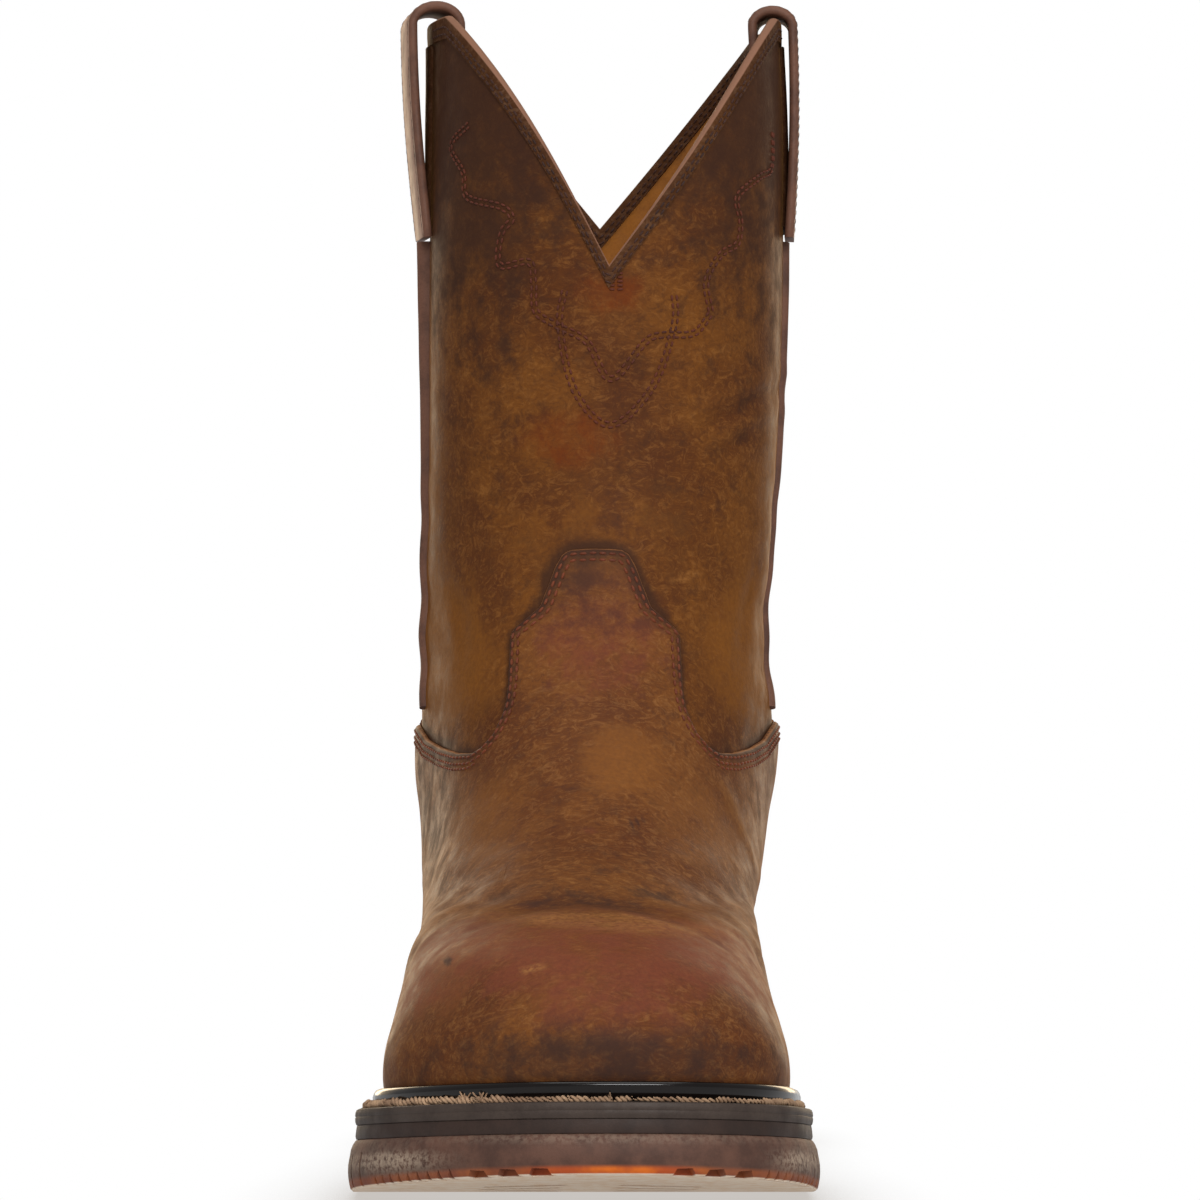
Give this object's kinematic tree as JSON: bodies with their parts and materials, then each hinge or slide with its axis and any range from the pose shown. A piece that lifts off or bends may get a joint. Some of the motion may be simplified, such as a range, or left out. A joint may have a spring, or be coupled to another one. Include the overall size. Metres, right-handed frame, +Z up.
{
  "type": "roper boot",
  "caption": "Empty right-foot pull-on roper work boot with a scalloped collar, pull straps, stitched welt and low heel.",
  "frame": {"origin": "on the floor, on the heel's tread, at the middle of the heel", "axes": "+Z up along the shaft, the toe towards -Y, the medial side of the right foot towards +X"},
  "size_m": [0.1186, 0.3072, 0.3151],
  "materials": {
    "shaft_leather": "oiled, distressed full-grain leather, satin",
    "vamp_leather": "oiled, distressed full-grain leather, satin",
    "trim_leather": "smooth brown leather, satin",
    "tread_rubber": "moulded brown rubber, matt",
    "midsole_rubber": "dark rubber, satin",
    "welt_rubber": "dark rubber, satin, with tan thread",
    "rand_rubber": "glossy black rubber",
    "insole_board": "board over cork, matt"
  },
  "bodies": {
    "root": {"outsole": "tread_rubber", "heel": "tread_rubber", "midsole": "midsole_rubber", "welt": "welt_rubber", "rand": "rand_rubber", "insole": "insole_board", "upper": "shaft_leather", "vamp": "vamp_leather", "counter": "vamp_leather", "collar_binding": "trim_leather", "side_piping_lateral": "trim_leather", "side_piping_medial": "trim_leather", "pull_strap_lateral": "trim_leather", "pull_strap_medial": "trim_leather"}
  },
  "joints": []
}
